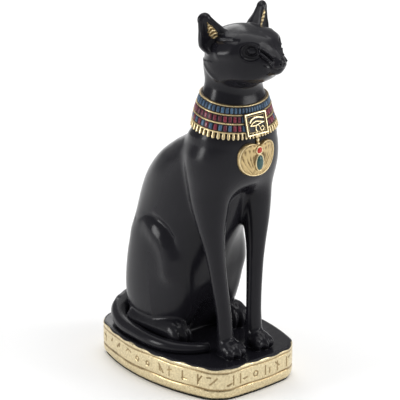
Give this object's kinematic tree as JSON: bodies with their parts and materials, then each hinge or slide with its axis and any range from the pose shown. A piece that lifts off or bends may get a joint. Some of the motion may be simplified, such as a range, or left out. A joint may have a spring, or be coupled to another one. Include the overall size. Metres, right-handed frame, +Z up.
{
  "type": "egyptian cat figurine",
  "caption": "Seated slender black cat on a low oblong plinth, with a gilt tiled collar, square plaque, heart-shaped pendant with stones, and its tail curled round one side.",
  "frame": {"origin": "middle of the underside, on the lower face of the felt pad", "axes": "+Z up; the cat looks along -Y, and its left side is +X"},
  "size_m": [0.0754, 0.115, 0.1985],
  "materials": {
    "black_paint": "satin black paint with a faint brushed unevenness, over cast stone-filled resin",
    "gold_paint": "pale gold metallic paint, darker in the hollows and rubbed brighter on the edges",
    "blue_paint": "blue painted inlay with a light satin shine",
    "red_paint": "dark red painted inlay with a light satin shine",
    "red_stone": "polished red cast stone",
    "green_stone": "polished blue-green cast stone",
    "felt": "thin black felt"
  },
  "bodies": {
    "root": {"cat_casting": "black_paint", "red_cabochon": "red_stone", "green_cabochon": "green_stone", "felt_pad": "felt"}
  },
  "joints": []
}
